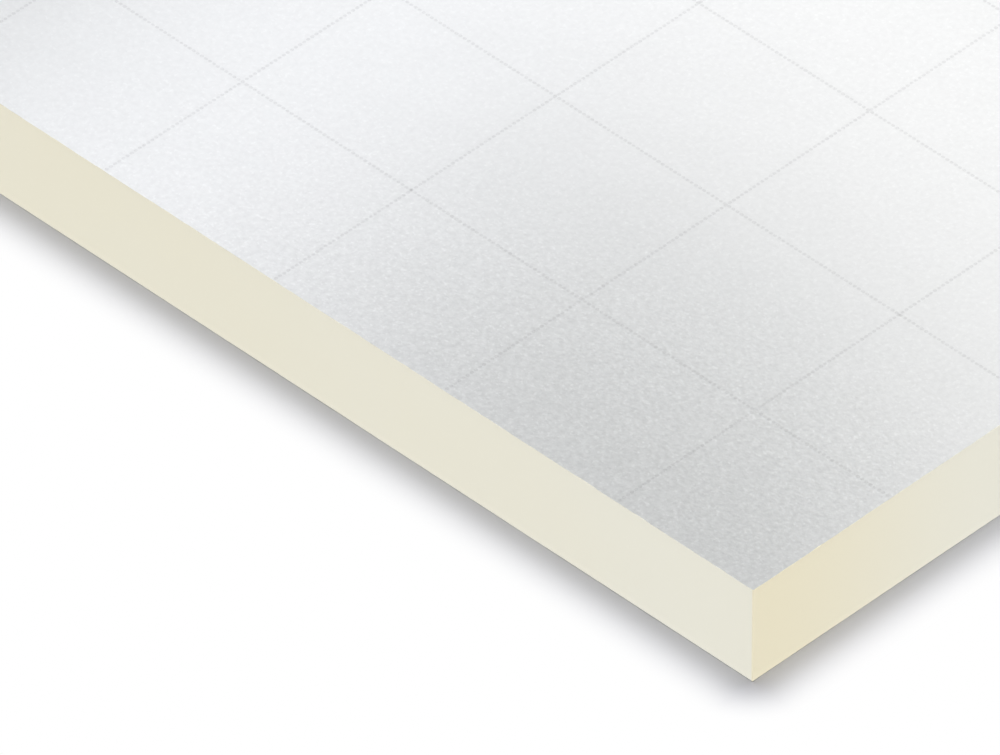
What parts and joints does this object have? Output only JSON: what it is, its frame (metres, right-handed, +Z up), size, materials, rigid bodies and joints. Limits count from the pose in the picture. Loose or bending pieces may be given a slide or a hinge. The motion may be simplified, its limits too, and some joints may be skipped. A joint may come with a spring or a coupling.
{
  "type": "polyiso insulation board",
  "caption": "Rigid polyisocyanurate foam insulation board with square edges and an aluminium foil facer bonded to each broad face.",
  "frame": {"origin": "on the floor under the centre of the board's underside", "axes": "+X along the board's length, +Y across its width, +Z up through its thickness, with the printed facer on top"},
  "size_m": [2.4, 1.2, 0.1],
  "materials": {
    "foam": "matt sawn closed-cell foam, cream",
    "foil_printed": "satin finely embossed foil with a grey dotted cutting grid",
    "foil_plain": "satin finely embossed foil, unprinted",
    "grid_ink": "thin film of grey printing ink, which the foil shines through"
  },
  "bodies": {
    "root": {"foam_core": "foam", "top_facer": "foil_printed", "bottom_facer": "foil_plain"}
  },
  "joints": []
}
